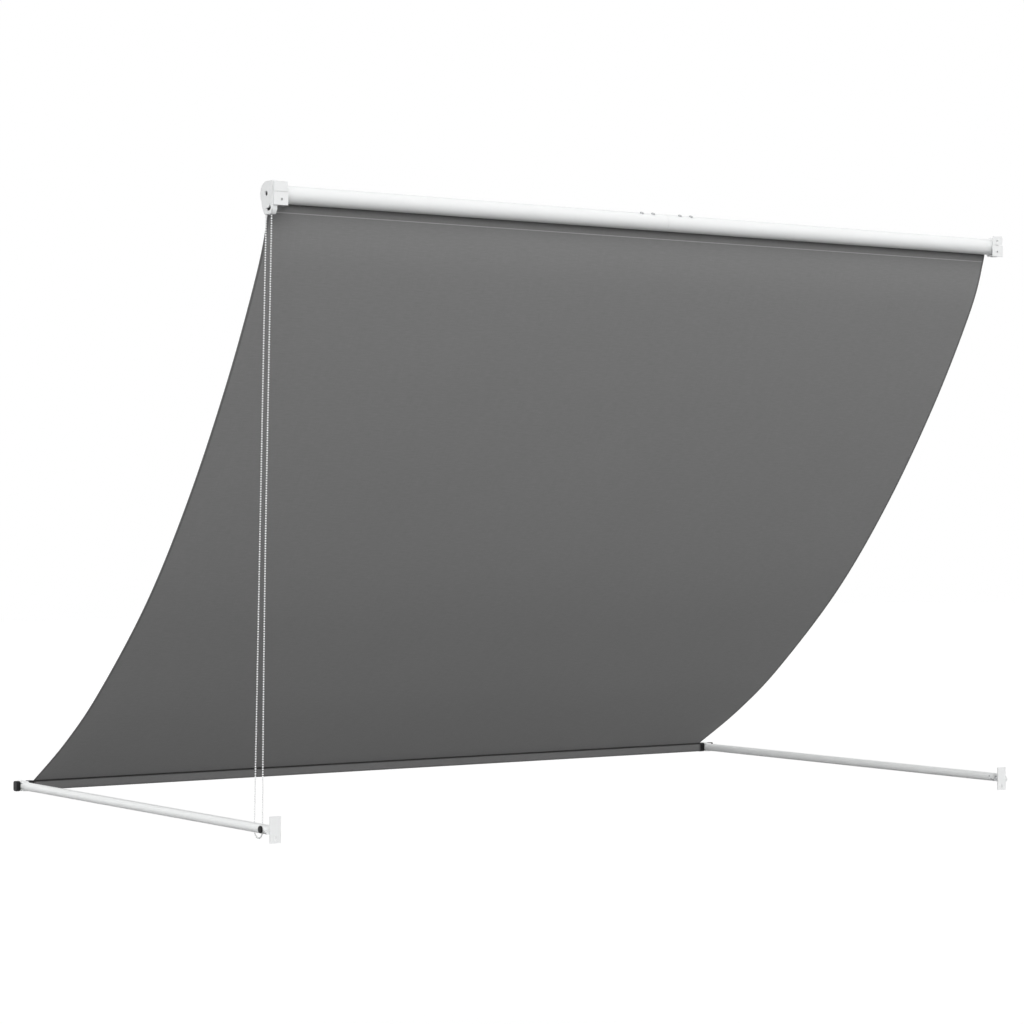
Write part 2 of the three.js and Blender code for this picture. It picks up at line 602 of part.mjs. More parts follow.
// The tip is squared: jaws over and under the arm's end, between the bar's collar and its cap
function armTip(side) {
  const x = side * ARM_X;
  const end = BAR_Y + ARM_BEYOND_BAR + GAP;
  const open = end - TIP_REACH - OVER;
  const between = ARM_R - JAW_DEPTH;
  const outline = roundedBox(ARM_Z, x, 2 * (ARM_R + TIP_WALL), 2 * ARM_R, TIP_ROUND);
  return alongY(outline, end - TIP_REACH, end + TIP_THICK)
    .subtract(rodY(x, ARM_Z, ARM_R + GAP, open, end, ARM_SIDES))
    .subtract(box(x - ARM_R - OVER, x + ARM_R + OVER, open, end, ARM_Z - between, ARM_Z + between))
    .add(rodY(x, ARM_Z, spigotR, end - TIP_SPIGOT, end + SINK, ARM_SIDES));
}

const boltLength = ARM_X + ARM_R + KNOB_DEPTH / 2 - LUG_INNER;
const pivotBolt = fastener(PIVOT_R, boltLength, PIVOT_HEAD_R, PIVOT_HEAD);

function pivotKnob(side) {
  const start = ARM_X + ARM_R + GAP;
  const profile = [
    [0, 0],
    [KNOB_R, 0],
    [KNOB_R, KNOB_DEPTH - KNOB_DOME],
    [KNOB_R - KNOB_DOME / 2, KNOB_DEPTH - KNOB_DOME / 2],
    [KNOB_R - 2 * KNOB_DOME, KNOB_DEPTH],
    [0, KNOB_DEPTH],
  ];
  const button = latheOf(profile, ROUND);
  button.rotateZ((-side * Math.PI) / 2);
  button.translate(side * start, PIVOT_Y, ARM_Z);
  const boltEnd = start + KNOB_DEPTH / 2 + SINK;
  return solidOf(button)
    .subtract(rodX(PIVOT_Y, ARM_Z, PIVOT_R + GAP, side * (start - OVER), side * boltEnd));
}

const barHoleIn = CLOTH_THICK + GAP; // from the hem's outside to the bar
const barDepth = HEM_DEPTH - 2 * barHoleIn;
const barHeight = HEM_HEIGHT - 2 * barHoleIn;
const barRound = HEM_ROUND - barHoleIn;
const spigotIn = BAR_WALL + GAP;
const collarFrom = CLOTH_HALF + GAP;
const collarTo = ARM_X - ARM_R - GAP;
const capFrom = ARM_X + ARM_R + GAP;
const studTo = capFrom + STUD_BEYOND;
const barSection = (depth, height, round) => roundedBox(BAR_Y, ARM_Z, depth, height, round);
const collar = barSection(HEM_DEPTH, COLLAR_HEIGHT, CAP_ROUND);
function barPlug(side) {
  const x = (value) => side * value;
  const spigot = barSection(barDepth - 2 * spigotIn, barHeight - 2 * spigotIn, barRound - spigotIn);
  return alongX(spigot, x(collarFrom - SPIGOT_LENGTH), x(collarFrom + SINK))
    .add(alongX(collar, x(collarFrom), x(collarTo)))
    .add(rodX(BAR_Y, ARM_Z, STUD_R, x(collarTo - SINK), x(studTo)));
}
function barCap(side) {
  const x = (value) => side * value;
  return alongX(collar, x(capFrom), x(capFrom + CAP_LENGTH))
    .subtract(rodX(BAR_Y, ARM_Z, STUD_R + GAP, x(capFrom - OVER), x(studTo + GAP)));
}

for (const [side, hand] of [[-1, 'left'], [1, 'right']]) {
  add(`arm_bracket_${hand}`, armBracket(side), WHITE_PAINT);
  add(`pivot_bolt_${hand}`, pivotBolt, STEEL, [side * (LUG_INNER - GAP), PIVOT_Y, ARM_Z], [0, 0, 90 * side]);
  add(`pivot_knob_${hand}`, pivotKnob(side), BLACK_PLASTIC);
  add(`arm_${hand}`, arm(side), WHITE_PAINT);
  add(`arm_fitting_${hand}`, armFitting(side), WHITE_PLASTIC);
  add(`arm_tip_${hand}`, armTip(side), WHITE_PLASTIC);
  RIVETS.forEach((rivet, i) => {
    const [y, z] = rivetAt(rivet);
    const surface = ARM_X - Math.sqrt(ARM_R ** 2 - (z - ARM_Z) ** 2) - RIVET_HEAD / 2;
    const body = fastener(RIVET_R, RIVET_LENGTH, RIVET_HEAD_R, RIVET_HEAD);
    add(`arm_rivet_${hand}_${i + 1}`, body, STEEL, [side * (surface - GAP), y, z], [0, 0, 90 * side]);
  });
  add(`bar_plug_${hand}`, barPlug(side), BLACK_PLASTIC);
  add(`bar_cap_${hand}`, barCap(side), BLACK_PLASTIC);
}
const barOutline = barSection(barDepth, barHeight, barRound);
const barInside = barSection(barDepth - 2 * BAR_WALL, barHeight - 2 * BAR_WALL, barRound - BAR_WALL);
const frontBar = alongX(barOutline, -CLOTH_HALF, CLOTH_HALF)
  .subtract(alongX(barInside, -CLOTH_HALF - OVER, CLOTH_HALF + OVER));
add('front_bar', frontBar, ALUMINIUM);

export default group;
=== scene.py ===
import json
import math
from bisect import bisect_right
from itertools import accumulate

import bmesh
import bpy
from mathutils import Matrix, Vector


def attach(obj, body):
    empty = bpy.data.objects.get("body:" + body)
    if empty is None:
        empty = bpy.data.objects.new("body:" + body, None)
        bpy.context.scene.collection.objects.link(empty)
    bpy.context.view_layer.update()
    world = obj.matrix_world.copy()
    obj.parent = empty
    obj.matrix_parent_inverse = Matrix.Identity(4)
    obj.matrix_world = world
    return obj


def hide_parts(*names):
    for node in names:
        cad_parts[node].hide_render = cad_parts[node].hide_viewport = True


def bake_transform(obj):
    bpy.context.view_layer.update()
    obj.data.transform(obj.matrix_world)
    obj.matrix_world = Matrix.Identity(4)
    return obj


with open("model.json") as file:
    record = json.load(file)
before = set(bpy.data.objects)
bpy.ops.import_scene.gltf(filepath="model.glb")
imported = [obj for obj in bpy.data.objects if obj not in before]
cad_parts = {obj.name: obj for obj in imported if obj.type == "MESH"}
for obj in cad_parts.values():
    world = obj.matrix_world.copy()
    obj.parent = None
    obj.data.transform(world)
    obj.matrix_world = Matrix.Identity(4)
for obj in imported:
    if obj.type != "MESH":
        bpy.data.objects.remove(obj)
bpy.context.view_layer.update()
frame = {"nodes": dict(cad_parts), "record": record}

MM = 0.001
WELD = 1e-6  # metres within which doubled points become one
scene = bpy.context.scene
scene.view_settings.view_transform = "Standard"

# Sizes that the CAD model shares, in millimetres: roller
GAP = 0.3
ROLLER_Y = 28.0
ROLLER_R = 19.0
ROLLER_WALL = 1.5
TUBE_HALF = 1009.0
PLUG_LENGTH = 46.0
COUPLER_SCREWS = (-69.5, -38.0, 38.0, 69.5)
COUPLER_SCREW_ANGLE = 120.0  # degrees from the outward direction, over the top
SCREW_HEAD_R = 4.6
SCREW_HEAD_HEIGHT = 2.8
SCREW_SHANK_R = 1.8
SCREW_REACH = 5.4
STRIP_R = 20.6
STRIP_THICK = 1.6
STRIP_SHORT = 8.0  # how far the strip stops short of the cloth's side
STRIP_ANGLES = (12.0, 28.0)

# Upper brackets
CHEEK_INNER = 1011.0
CHEEK_OUTER = 1013.5
CHEEK_R = 24.0
CHEEK_ARC = (-85.0, 90.0)
PLATE_INNER = 990.0
PLATE_OUTER = 1023.5
PLATE_THICK = 2.5
PLATE_BOTTOM = -25.0
PLATE_TOP = 24.0
PLATE_STEP_Z = 2.0  # above this line the plate stands back from the wall and from its sides
PLATE_STEP = 0.8
FOOT_DEPTH = 21.0
WALL_HOLE_R = 2.5
WALL_HOLE_IN = 15.0  # from the plate's inner edge
WALL_HOLE_Z = 13.5
DRIVE_AXLE_R = 10.1
IDLE_AXLE_R = 4.3
CASE_SCREW_CIRCLE = 19.5
CASE_SCREW_ANGLES = (40.0, 155.0)
CASE_SCREW_HOLE_R = 2.1

# Chain drive; the case's places are measured from the roller's axis
CASE_R = 25.0
CASE_ARC = (-35.0, 90.0)
CASE_LIP = (-18.0, 8.0)
CASE_LIP_Z = -43.0
CASE_OUTER_CORNER = (16.5, -29.0)
CASE_WALL_CORNERS = ((-25.2, 25.0), (-24.2, -34.0))
COVER_INNER = -1023.1
COVER_OUTER = -1025.8
COVER_WINDOW = (
    (0.0, -30.5), (-0.5, -34.5), (-3.0, -35.8), (-13.0, -35.8), (-16.5, -34.0), (-18.0, -30.0),
    (-17.5, -26.0), (-15.5, -25.0), (-12.5, -25.6), (-10.5, -28.6), (-7.0, -29.8), (-2.0, -29.6),
)
SPINDLE_R = 6.4
SPINDLE_BORE_R = 5.2
CHAIN_X = -1019.6
CHAIN_PITCH_R = 11.4
CHAIN_LOOP_R = 17.0
CHAIN_BELOW_ARM = 24.0
CHAIN_LEAN = 43.5  # how far outward the loop hangs
CHAIN_SPREAD_FROM = 0.4  # share of the way down where the strands begin to part
CHAIN_ENDS_APART = 0.6

# Cloth: its line from the roller's front to the hem, as shares of the way out and of the way down
CLOTH_HALF = 1008.0
CLOTH_WRAP = 30.0  # degrees of the roller that the cloth's upper end covers
CLOTH_OVER_ROLLER = 0.8
CLOTH_LINE = (
    (0.0042, 0.0264),
    (0.0427, 0.1164),
    (0.1562, 0.2894),
    (0.3122, 0.4841),
    (0.4877, 0.6633),
    (0.696, 0.827),
    (0.8466, 0.9216),
)

# Arms and front bar
ARM_X = 1033.1
ARM_Z = -1300.0
ARM_R = 10.0
ARM_WALL = 1.5
ARM_START = 36.0
ARM_BEYOND_BAR = 12.0
BAR_Y = 1180.0
HEM_DEPTH = 20.0
HEM_HEIGHT = 23.0
HEM_ROUND = 6.0

SIDES = ((-1, "left"), (1, "right"))
ALONG_SPAN = (1, 0, 0)
OUTWARD = (0, 1, 0)

# Camera, fitted to the photograph: level, behind the wall plane, looking outward
CAMERA_AT = (-3.9314, -5.0733, -0.6688)
CAMERA_TOWARD = (0.5675, 0.8233, 0.0)
CAMERA_SENSOR = 36.0
CAMERA_LENS = 100.49
CAMERA_SHIFT_Y = 0.008
CAMERA_FAR = 60.0

camera_data = bpy.data.cameras.new("camera")
camera_data.sensor_width = CAMERA_SENSOR
camera_data.lens = CAMERA_LENS
camera_data.shift_y = CAMERA_SHIFT_Y
camera_data.clip_end = CAMERA_FAR
camera = bpy.data.objects.new("camera", camera_data)
camera.location = CAMERA_AT
camera.rotation_euler = Vector(CAMERA_TOWARD).to_track_quat("-Z", "Y").to_euler()
scene.collection.objects.link(camera)
scene.camera = camera


# Outlines in two coordinates

def arc(u, v, r, start, stop, steps):
    """Points of an arc, with its angles in degrees."""
    angles = [math.radians(start + (stop - start) * i / steps) for i in range(steps + 1)]
    return [(u + r * math.cos(a), v + r * math.sin(a)) for a in angles]


def ring(u, v, r, steps):
    """A full circle."""
    return arc(u, v, r, 0, 360, steps)[:-1]


def rounded(corners, radii, steps):
    """A closed outline with each corner rounded by its own radius; a corner of radius 0 stays sharp."""
    points = []
    for i, corner in enumerate(corners):
        here = Vector(corner)
        if radii[i] <= 0:
            points.append(tuple(here))
            continue
        before = (Vector(corners[i - 1]) - here).normalized()
        after = (Vector(corners[(i + 1) % len(corners)]) - here).normalized()
        half = before.angle(after) / 2
        reach = radii[i] / math.tan(half)
        centre = here + (before + after).normalized() * (radii[i] / math.sin(half))
        first = here + before * reach - centre
        turn = first.angle_signed(here + after * reach - centre)
        for k in range(steps + 1):
            points.append(tuple(centre + Matrix.Rotation(-turn * k / steps, 2) @ first))
    return points


def box(u0, u1, v0, v1):
    return [(u0, v0), (u1, v0), (u1, v1), (u0, v1)]


def measured(points):
    """How far along a polyline each of its points lies."""
    steps = [(Vector(b) - Vector(a)).length for a, b in zip(points, points[1:])]
    return list(accumulate(steps, initial=0.0))


def spots_along(points, distances):
    """The spots of a polyline that lie at these distances from its start."""
    reached = measured(points)
    spots = []
    for distance in distances:
        i = min(bisect_right(reached, distance), len(points) - 1)
        share = (distance - reached[i - 1]) / (reached[i] - reached[i - 1])
        spots.append(Vector(points[i - 1]).lerp(Vector(points[i]), share))
    return spots


# Solid forms

def along_x(u, v, depth):
    """An outline in (y, z), carried along x."""
    return (depth, u, v)


def along_y(u, v, depth):
    """An outline in (z, x), carried along y."""
    return (v, depth, u)


SHARP = 0.9  # radians between faces past which an edge is rounded


def linked(verts, kind):
    """The faces or edges at these points, each once."""
    return list(dict.fromkeys(g for v in verts for g in getattr(v, kind)))


def round_edges(bm, edges, edge, segments=2):
    """Rounds edges by a width of edge."""
    bmesh.ops.bevel(bm, geom=edges, offset=edge * MM, segments=segments, profile=0.5, material=-1,
                    affect="EDGES", clamp_overlap=True)


def add_prism(bm, outline, start, stop, place=along_x, holes=(), edge=0.0, segments=2):
    """A flat shape with holes, carried from start to stop, its rims rounded by edge."""
    low, high = min(start, stop), max(start, stop)
    base, rims = [], []
    for loop in (outline, *holes):
        verts = [bm.verts.new(Vector(place(u, v, low)) * MM) for u, v in loop]
        rims += [bm.edges.new(pair) for pair in zip(verts, verts[1:] + verts[:1])]
        base += verts
    if holes:
        filled = bmesh.ops.triangle_fill(bm, edges=rims, use_beauty=True)["geom"]
        faces = [g for g in filled if isinstance(g, bmesh.types.BMFace)]
    else:
        faces = [bm.faces.new(base)]
    made = bmesh.ops.extrude_face_region(bm, geom=faces, use_keep_orig=True)["geom"]
    top = [g for g in made if isinstance(g, bmesh.types.BMVert)]
    bmesh.ops.translate(bm, vec=Vector(place(0, 0, high - low)) * MM, verts=top)
    every = [*base, *top]
    bmesh.ops.recalc_face_normals(bm, faces=linked(every, "link_faces"))
    if edge > 0:
        sharp = [e for e in linked(every, "link_edges") if e.is_manifold and e.calc_face_angle() > SHARP]
        round_edges(bm, sharp, edge, segments)


def add_lathe(bm, profile, origin, toward, steps):
    """A profile of (radius, height) pairs spun about an axis; it closes if it ends where it starts."""
    known = set(bm.verts)
    axis = Vector(toward).normalized()
    base = Vector(origin)
    turn = axis.to_track_quat("Z", "Y").to_matrix()
    closed = profile[0] == profile[-1]
    corners = profile[:-1] if closed else profile
    verts = [bm.verts.new((base + turn @ Vector((r, 0, h))) * MM) for r, h in corners]
    ahead = verts[1:] + (verts[:1] if closed else [])
    edges = [bm.edges.new(pair) for pair in zip(verts, ahead)]
    bmesh.ops.spin(bm, geom=[*verts, *edges], cent=base * MM, axis=axis, angle=math.tau, steps=steps,
                   use_merge=True)
    bmesh.ops.remove_doubles(bm, verts=[v for v in bm.verts if v not in known], dist=WELD)
    spun = [v for v in bm.verts if v not in known]
    bmesh.ops.recalc_face_normals(bm, faces=linked(spun, "link_faces"))


EDGE_SLOPE = 0.3  # share of a rod's edge by which its corner is cut back
HEAD_SHAPE = (  # shares of a screw head's radius and height, from its rim over the dome
    (0.96, 0.0), (1.0, 0.12), (1.0, 0.35), (0.93, 0.65), (0.72, 0.9), (0.4, 1.0), (0.0, 1.0),
)
CORD_ROUNDNESS = 2


def rod_profile(r, length, edge, bore=0.0):
    """The profile of a rod, or of a tube if it has a bore."""
    slope = edge * EDGE_SLOPE
    start = [(r - edge, 0), (r - slope, slope), (r, edge)]
    stop = [(radius, length - height) for radius, height in reversed(start)]
    if bore > 0:
        return [(bore, 0), *start, *stop, (bore, length), (bore, 0)]
    return [(0, 0), *start, *stop, (0, length)]


def head_profile(r, height, shank, reach):
    """A low domed head on a shank."""
    head = [(r * out, height * up) for out, up in HEAD_SHAPE]
    return [(0, -reach), (shank, -reach), (shank, 0), *head]


def add_cord(bm, points, radius):
    """A round cord along a line of points, closed at both ends."""
    curve = bpy.data.curves.new("cord", "CURVE")
    curve.dimensions = "3D"
    curve.bevel_depth = radius
    curve.bevel_resolution = CORD_ROUNDNESS
    curve.use_fill_caps = True
    line = curve.splines.new("POLY")
    line.points.add(len(points) - 1)
    for knot, point in zip(line.points, points):
        knot.co = (*point, 1)
    holder = bpy.data.objects.new("cord", curve)
    bm.from_mesh(bpy.data.meshes.new_from_object(holder))
    bpy.data.objects.remove(holder)
    bmesh.ops.remove_doubles(bm, verts=bm.verts, dist=WELD)
    bmesh.ops.recalc_face_normals(bm, faces=bm.faces)


CREASE = 50.0  # degrees past which a piece's edge shows sharp


def piece(name, bm, look, body, nodes=(), flat=True):
    """Turns a bmesh into a finished piece that rides on a body and stands for CAD nodes."""
    mesh = bpy.data.meshes.new(name)
    bm.to_mesh(mesh)
    bm.free()
    mesh.materials.append(look)
    mesh.polygons.foreach_set("use_smooth", [True] * len(mesh.polygons))
    mesh.set_sharp_from_angle(angle=math.radians(CREASE))
    obj = bpy.data.objects.new(name, mesh)
    scene.collection.objects.link(obj)
    if flat:
        obj.modifiers.new("flat_faces", "WEIGHTED_NORMAL").keep_sharp = True
    if body:
        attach(obj, body)
    if nodes:
        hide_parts(*nodes)
    return obj


# Finishes

class Value:
    """A node's socket that can be used in arithmetic."""

    def __init__(self, look, socket):
        self.look = look
        self.socket = socket

    def _op(self, operation, *terms):
        return self.look.node("ShaderNodeMath", {"operation": operation}, **{
            str(i): term for i, term in enumerate(terms)})

    def __add__(self, other):
        return self._op("ADD", self, other)

    __radd__ = __add__

    def __sub__(self, other):
        return self._op("SUBTRACT", self, other)

    def __rsub__(self, other):
        return self._op("SUBTRACT", other, self)

    def __mul__(self, other):
        return self._op("MULTIPLY", self, other)

    __rmul__ = __mul__

    def __pow__(self, other):
        return self._op("POWER", self, other)

    def __abs__(self):
        return self._op("ABSOLUTE", self)

    def sin(self):
        return self._op("SINE", self)

    def above(self, limit):
        return self._op("GREATER_THAN", self, limit)

    def least(self, other):
        return self._op("MINIMUM", self, other)

    def most(self, other):
        return self._op("MAXIMUM", self, other)


class Look:
    """A material or a world, built from nodes."""

    def __init__(self, name, holder=None):
        self.data = holder or bpy.data.materials.new(name)
        self.data.use_nodes = True
        self.tree = self.data.node_tree
        self.tree.nodes.clear()

    def node(self, kind, settings=None, out=0, **inputs):
        """A node with its settings, and its inputs by a socket's name or number; gives one output."""
        made = self.tree.nodes.new(kind)
        for key, value in (settings or {}).items():
            setattr(made, key, value)
        for key, value in inputs.items():
            socket = made.inputs[int(key) if key.isdigit() else key.replace("_", " ")]
            if isinstance(value, Value):
                self.tree.links.new(value.socket, socket)
            else:
                socket.default_value = value
        return Value(self, made.outputs[out]) if made.outputs else None

    def noise(self, where, scale, detail):
        return self.node("ShaderNodeTexNoise", Vector=where, Scale=scale, Detail=detail)

    def stretched(self, where, scale):
        return self.node("ShaderNodeMapping", Vector=where, Scale=scale)

    def mix(self, share, a, b):
        return self.node("ShaderNodeMix", {"data_type": "RGBA"}, out=2, **{"0": share, "6": a, "7": b})

    def looked_at(self):
        """One for rays from the camera, straight or by way of a mirror or a clear body, otherwise zero."""
        camera_ray, glossy, through = (
            self.node("ShaderNodeLightPath", out=name)
            for name in ("Is Camera Ray", "Is Glossy Ray", "Is Transmission Ray"))
        return camera_ray.most(glossy).most(through)

    def end(self, surface, kind="ShaderNodeOutputMaterial"):
        self.node(kind, Surface=surface)
        return self.data


NOISE_MIDDLE = 0.5
BROAD_SCALE = 14.0
FINE_GLOSS = 0.12
BROAD_GLOSS = 0.08
GRAIN_DEPTH = 0.0004


def plain_look(name, colour, rough, metal=0.0, grain=900.0, bump=0.02, spread=0.05, streak=None, shine=0.5):
    """A moulded, painted or metal surface with a little life in its colour, gloss and grain."""
    look = Look(name)
    where = look.node("ShaderNodeTexCoord", out="Object")
    if streak:
        where = look.stretched(where, streak)
    broad = look.noise(where, BROAD_SCALE, detail=3.0)
    fine = look.noise(where, grain, detail=2.0)
    dim = [c * (1 - spread) for c in colour]
    tone = look.mix(broad, (*dim, 1), (*colour, 1))
    gloss = rough + (fine - NOISE_MIDDLE) * FINE_GLOSS + (broad - NOISE_MIDDLE) * BROAD_GLOSS
    normal = look.node("ShaderNodeBump", Strength=bump, Distance=GRAIN_DEPTH, Height=fine)
    surface = look.node("ShaderNodeBsdfPrincipled", Base_Color=tone, Roughness=gloss, Metallic=metal,
                        Normal=normal, Specular_IOR_Level=shine)
    return look.end(surface)


# Cloth finish: lengths in metres, and shares by which the tone changes
CLOTH_MAP = "UVMap"
CLOTH_TONE = 0.248
CLOTH_LEVEL = 0.93
THREAD = 0.0011  # width of one thread in the weave
WEAVE_SHARE = 0.03
WARP_STREAKS = (900.0, 14.0, 1.0)  # how finely uneven threads repeat, across and along
WEFT_STREAKS = (14.0, 900.0, 1.0)
STREAK_SHARE = 0.12
SHORT_STREAKS = (50.0, 420.0, 1.0)
SHORT_STREAK_SHARE = 0.16
CLOUD_SCALE = 2.2
CLOUD_SHARE = 0.05
EDGE_BAND = 0.0055
EDGE_SHARE = 0.35
SEAM_HALF = 0.0012
SEAM_SHARE = 1.2
# Painted shade: a dark band of tone along the groove where the cloth meets the top of its hem
CREASE_SHADE_HALF = 0.006
CREASE_SHADE_PAST_HEM = 0.0012
CREASE_SHADE_SHARE = 0.93
CREASE_SHADE_FALL = 3  # how sharply the painted crease shade ends
HEM_SHARE = 0.32
WEAVE_HEIGHT = 0.5
STREAK_HEIGHT = 0.35
RELIEF = 0.0003
RELIEF_SHARE = 0.25
CLOTH_ROUGH = 0.88
SHEEN = 0.08
SHEEN_ROUGH = 0.5


def cloth_look(width, seam_at, hem_at):
    """Woven cloth, with painted shade along the groove above its hem: the map runs across in metres and
    along from the roller in metres.
    """
    look = Look("cloth")
    uv = look.node("ShaderNodeUVMap", {"uv_map": CLOTH_MAP})
    across = look.node("ShaderNodeSeparateXYZ", out="X", Vector=uv)
    along = look.node("ShaderNodeSeparateXYZ", out="Y", Vector=uv)
    turns = math.pi / THREAD
    weave = (across * turns).sin() * (along * turns).sin()
    warp = look.noise(look.stretched(uv, WARP_STREAKS), 1.0, detail=2.0)
    weft = look.noise(look.stretched(uv, WEFT_STREAKS), 1.0, detail=2.0)
    short = look.noise(look.stretched(uv, SHORT_STREAKS), 1.0, detail=1.0)
    cloud = look.noise(uv, CLOUD_SCALE, detail=4.0)
    light = CLOTH_LEVEL + weave * WEAVE_SHARE
    light += (warp - NOISE_MIDDLE) * STREAK_SHARE + (weft - NOISE_MIDDLE) * STREAK_SHARE
    light += (short - NOISE_MIDDLE) * SHORT_STREAK_SHARE + (cloud - NOISE_MIDDLE) * CLOUD_SHARE
    band = abs(across - width / 2).above(width / 2 - EDGE_BAND)
    seam = 1.0 - (abs(along - seam_at) * (1 / SEAM_HALF)).least(1.0)
    # painted shade along the groove above the hem
    crease_shade = 1.0 - (abs(along - (hem_at + CREASE_SHADE_PAST_HEM)) * (1 / CREASE_SHADE_HALF)).least(1.0) ** CREASE_SHADE_FALL
    hem = along.above(hem_at)
    light *= (1.0 - band * EDGE_SHARE) * (1.0 + seam * SEAM_SHARE)
    light *= (1.0 - crease_shade * CREASE_SHADE_SHARE) * (1.0 - hem * HEM_SHARE)
    tone = light * CLOTH_TONE
    height = weave * WEAVE_HEIGHT + warp * STREAK_HEIGHT + weft * STREAK_HEIGHT
    surface = look.node(
        "ShaderNodeBsdfPrincipled",
        Base_Color=look.node("ShaderNodeCombineColor", Red=tone, Green=tone, Blue=tone),
        Roughness=CLOTH_ROUGH,
        Normal=look.node("ShaderNodeBump", Strength=RELIEF_SHARE, Distance=RELIEF, Height=height),
        Sheen_Weight=SHEEN,
        Sheen_Roughness=SHEEN_ROUGH,
    )
    return look.end(surface)


LOOKS = {
    "white_paint": plain_look(
        "white_paint", (0.9, 0.91, 0.91), rough=0.4, grain=700.0, bump=0.03, spread=0.02, shine=0.2),
    "white_plastic": plain_look(
        "white_plastic", (0.85, 0.86, 0.86), rough=0.46, grain=1500.0, bump=0.05, spread=0.03, shine=0.3),
    "chain_plastic": plain_look(
        "chain_plastic", (0.9, 0.91, 0.91), rough=0.3, grain=2000.0, bump=0.01, spread=0.03),
    "black_plastic": plain_look(
        "black_plastic", (0.013, 0.013, 0.014), rough=0.42, grain=1800.0, bump=0.08, spread=0.15,
        shine=0.18),
    "steel": plain_look(
        "steel", (0.5, 0.51, 0.52), rough=0.34, metal=1.0, grain=1200.0, spread=0.08),
    "aluminium": plain_look(
        "aluminium", (0.62, 0.63, 0.64), rough=0.36, metal=1.0, grain=500.0, spread=0.06,
        streak=(0.02, 1.0, 1.0)),
}
CHAIN_CORD = plain_look("chain_cord", (0.4, 0.4, 0.4), rough=0.8, grain=3000.0, bump=0.05, spread=0.1)


def rigid(name, bm, slot, body, nodes=()):
    """A hard piece in its slot's own finish."""
    piece(name, bm, LOOKS[slot], body, nodes)


# Pull chain: a thin thread round the bead wheel, down to a loop and back, strung with beads
BEAD_R = 1.85
BEAD_PITCH = 5.16
BEAD_FACES = (10, 6)
THREAD_R = 0.3
STRAND_STEPS = 60
ROUND_STEPS = 24


def chain_route():
    """The loop's centreline in (y, z), from just below the case round the wheel and back to its start."""
    loop_y, loop_z = ROLLER_Y + CHAIN_LEAN, ARM_Z - CHAIN_BELOW_ARM + CHAIN_LOOP_R
    inner_top = Vector((ROLLER_Y - CHAIN_PITCH_R, CASE_LIP_Z))
    outer_top = Vector((ROLLER_Y + CHAIN_PITCH_R, CASE_LIP_Z))
    outer_low = Vector((loop_y + CHAIN_LOOP_R, loop_z))
    outer, inner = [], []
    for i in range(1, STRAND_STEPS):
        down = i / STRAND_STEPS
        parted = (max(down - CHAIN_SPREAD_FROM, 0) / (1 - CHAIN_SPREAD_FROM)) ** 2
        apart = 2 * (CHAIN_PITCH_R + (CHAIN_LOOP_R - CHAIN_PITCH_R) * parted)
        outer.append(outer_top.lerp(outer_low, down))
        inner.append(outer[-1] - Vector((apart, 0)))
    return [
        inner_top,
        *arc(ROLLER_Y, 0, CHAIN_PITCH_R, 180, 0, ROUND_STEPS),
        outer_top,
        *outer,
        *arc(loop_y, loop_z, CHAIN_LOOP_R, 0, -180, ROUND_STEPS),
        *reversed(inner),
        inner_top - Vector((0, CHAIN_ENDS_APART)),
    ]


def in_chain_plane(point):
    return Vector((CHAIN_X, *point)) * MM


route = chain_route()
chain_length = measured(route)[-1]
bead_count = round(chain_length / BEAD_PITCH)
bead_spots = spots_along(route, [(i + 0.5) * chain_length / bead_count for i in range(bead_count)])

bm = bmesh.new()
add_cord(bm, [in_chain_plane(point) for point in route], THREAD_R * MM)
chain = piece("pull_chain_thread", bm, CHAIN_CORD, "mounting", ["pull_chain"], flat=False)

one_bead = bmesh.new()
bmesh.ops.create_uvsphere(one_bead, u_segments=BEAD_FACES[0], v_segments=BEAD_FACES[1], radius=BEAD_R * MM)
bead_mesh = bpy.data.meshes.new("bead")
one_bead.to_mesh(bead_mesh)
one_bead.free()
bm = bmesh.new()
bead_at = Vector((0, 0, 0))
for spot in bead_spots:
    bead_mesh.transform(Matrix.Translation(in_chain_plane(spot) - bead_at))
    bead_at = in_chain_plane(spot)
    bm.from_mesh(bead_mesh)
chain_beads = piece("pull_chain_beads", bm, LOOKS["chain_plastic"], "mounting", flat=False)

# Cloth: wrapped on the roller's front, hanging in a slack curve, with a pocket round the front bar
CLOTH_THICK = 0.7
CLOTH_CELLS_ACROSS = 120
CLOTH_CELLS_ALONG = 150
LINE_STEPS = 24
WRAP_STEPS = 8
HEM_STEPS = 8
SEAM_DROP = 34.5  # how far below the roller's axis the seam runs
RIPPLE = 1.1
LONG_WAVE = (310.0, 420.0)  # across and along, for one radian each
LONG_PHASE = 1.3
SHORT_WAVE = (170.0, 390.0)
SHORT_PHASE = 0.4
SHORT_WAVE_SHARE = 0.6


def spline(points, per_span):
    """A smooth curve through points, the same one the CAD cloth follows."""
    made = []
    last = len(points) - 1
    for i in range(last):
        p0, p1 = Vector(points[max(i - 1, 0)]), Vector(points[i])
        p2, p3 = Vector(points[i + 1]), Vector(points[min(i + 2, last)])
        leave, arrive = (p2 - p0) / 2, (p3 - p1) / 2
        for k in range(per_span):
            t = k / per_span
            bend = 3 * (p2 - p1) - 2 * leave - arrive
            twist = 2 * (p1 - p2) + leave + arrive
            made.append(p1 + leave * t + bend * t ** 2 + twist * t ** 3)
    made.append(Vector(points[-1]))
    return made


def cloth_line(end):
    """The cloth's middle line in (y, z), from its upper edge on the roller to the front bar."""
    radius = ROLLER_R + CLOTH_OVER_ROLLER
    start = (ROLLER_Y + radius, 0.0)
    between = [(start[0] + (end[0] - start[0]) * out, end[1] * down) for out, down in CLOTH_LINE]
    wrapped = arc(ROLLER_Y, 0, radius, CLOTH_WRAP, 0, WRAP_STEPS)[:-1]
    return [*wrapped, *spline([start, *between, end], LINE_STEPS)]


